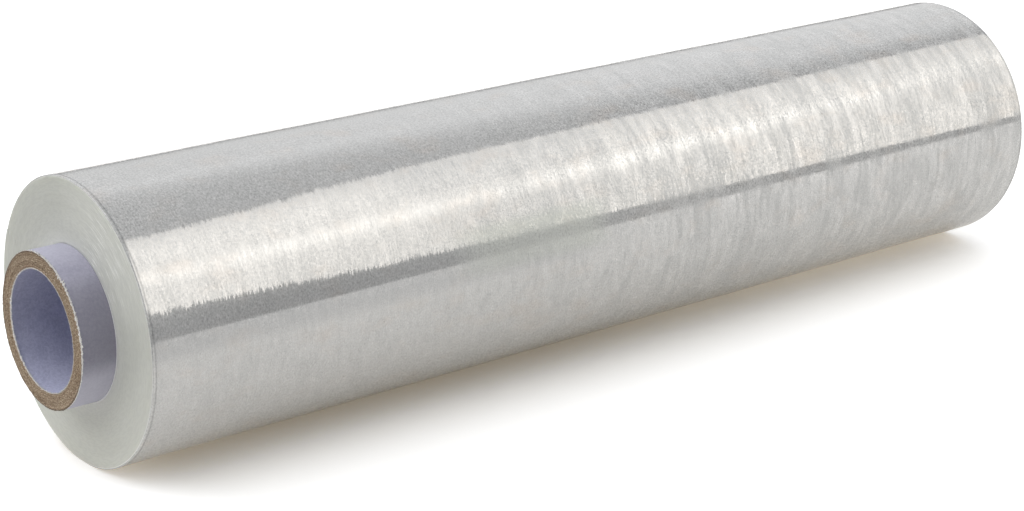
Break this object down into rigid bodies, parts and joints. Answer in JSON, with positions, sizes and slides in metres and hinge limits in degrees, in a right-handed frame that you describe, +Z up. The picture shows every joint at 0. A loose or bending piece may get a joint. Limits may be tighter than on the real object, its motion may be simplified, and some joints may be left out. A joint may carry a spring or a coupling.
{
  "type": "stretch wrap roll",
  "caption": "Clear stretch film wound on a paper tube that sticks out at both ends, for wrapping pallets and parcels by hand. It lies on its side.",
  "frame": {"origin": "midway along the roll, in the middle of the small flat that it rests on", "axes": "+X along the roll's axis, +Z up from the floor, +Y to the back, where the free end of the film lies"},
  "size_m": [0.53, 0.119, 0.1184],
  "materials": {
    "film": "glossy clear film that looks cloudy and silvery in the roll",
    "board": "raw cut edge of brown recycled board, with its plies showing",
    "liner_paper": "matt bluish white paper",
    "wrap_paper": "matt bluish white paper"
  },
  "bodies": {
    "root": {"film_roll": "film", "core_board": "board", "core_liner": "liner_paper", "core_wrap": "wrap_paper"}
  },
  "joints": []
}
